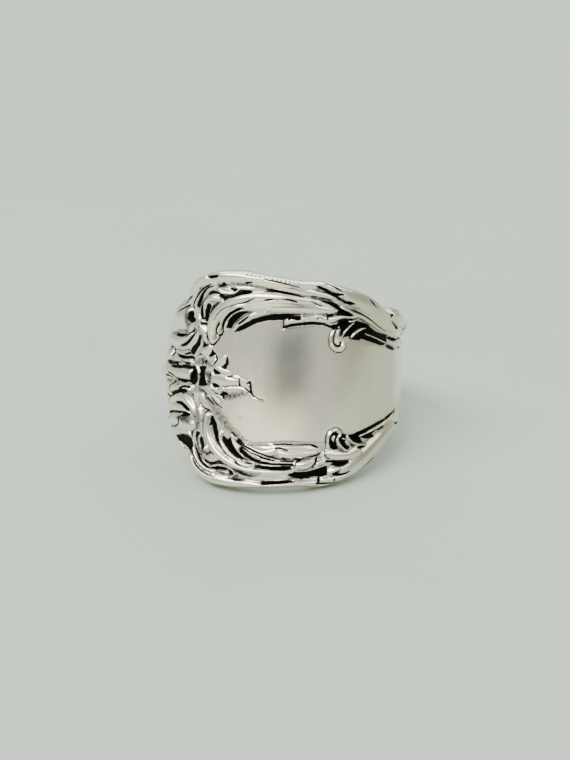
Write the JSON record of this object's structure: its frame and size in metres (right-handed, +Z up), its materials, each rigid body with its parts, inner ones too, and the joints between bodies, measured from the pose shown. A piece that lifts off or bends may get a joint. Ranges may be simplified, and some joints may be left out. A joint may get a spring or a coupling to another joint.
{
  "type": "spoon ring",
  "caption": "Open ring bent from an ornate spoon handle: a broad plain panel framed by raised scrollwork and a palmette, narrowing to a plain shaft that passes behind the finger.",
  "frame": {"origin": "The lowest point of the ring at rest, under the middle of its bounding box in plan.", "axes": "+Z is up from the surface that the ring rests on. The broad ornate end faces -Y and the shaft lies toward +Y. +X is to the right as the broad end is looked at."},
  "size_m": [0.0216, 0.0244, 0.0189],
  "materials": {
    "silver": "polished silver plate, dark tarnish left in the deep lines of the relief"
  },
  "bodies": {
    "root": {"ring_band": "silver"}
  },
  "joints": []
}
